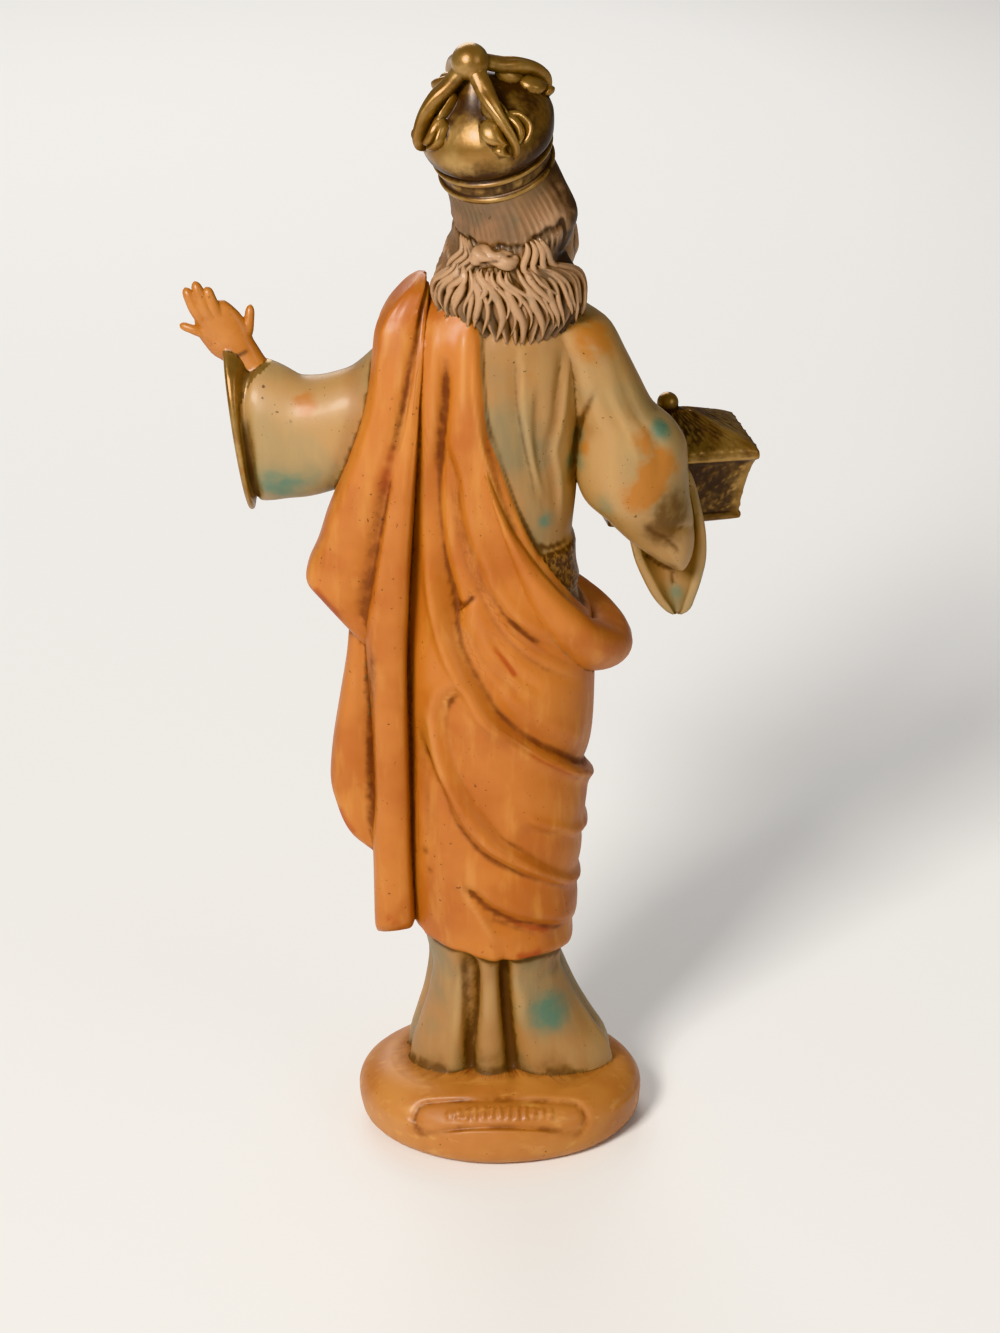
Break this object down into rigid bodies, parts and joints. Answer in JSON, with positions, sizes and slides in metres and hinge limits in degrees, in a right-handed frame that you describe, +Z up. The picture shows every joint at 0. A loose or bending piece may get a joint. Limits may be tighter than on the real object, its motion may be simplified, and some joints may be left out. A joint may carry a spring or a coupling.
{
  "type": "crib figure of a king",
  "caption": "Standing king of a nativity crib in robe and draped mantle, one hand raised, casket in the other, crowned, on an oval base.",
  "frame": {"origin": "middle of the base's flat underside, on the surface that it stands on", "axes": "+Z up through the figure, -Y the way that the figure faces, +X to the figure's left, the raised hand"},
  "size_m": [0.0614, 0.0335, 0.125],
  "materials": {
    "painted_plastic": "moulded plastic, hand painted: ochre-orange mantle, grey-green robe with peach and turquoise showing, antique gold crown, casket and cuff, tan hands and base, taupe hair, with a dark brown wash in the folds; semi-gloss"
  },
  "bodies": {
    "root": {"king_figure": "painted_plastic"}
  },
  "joints": []
}
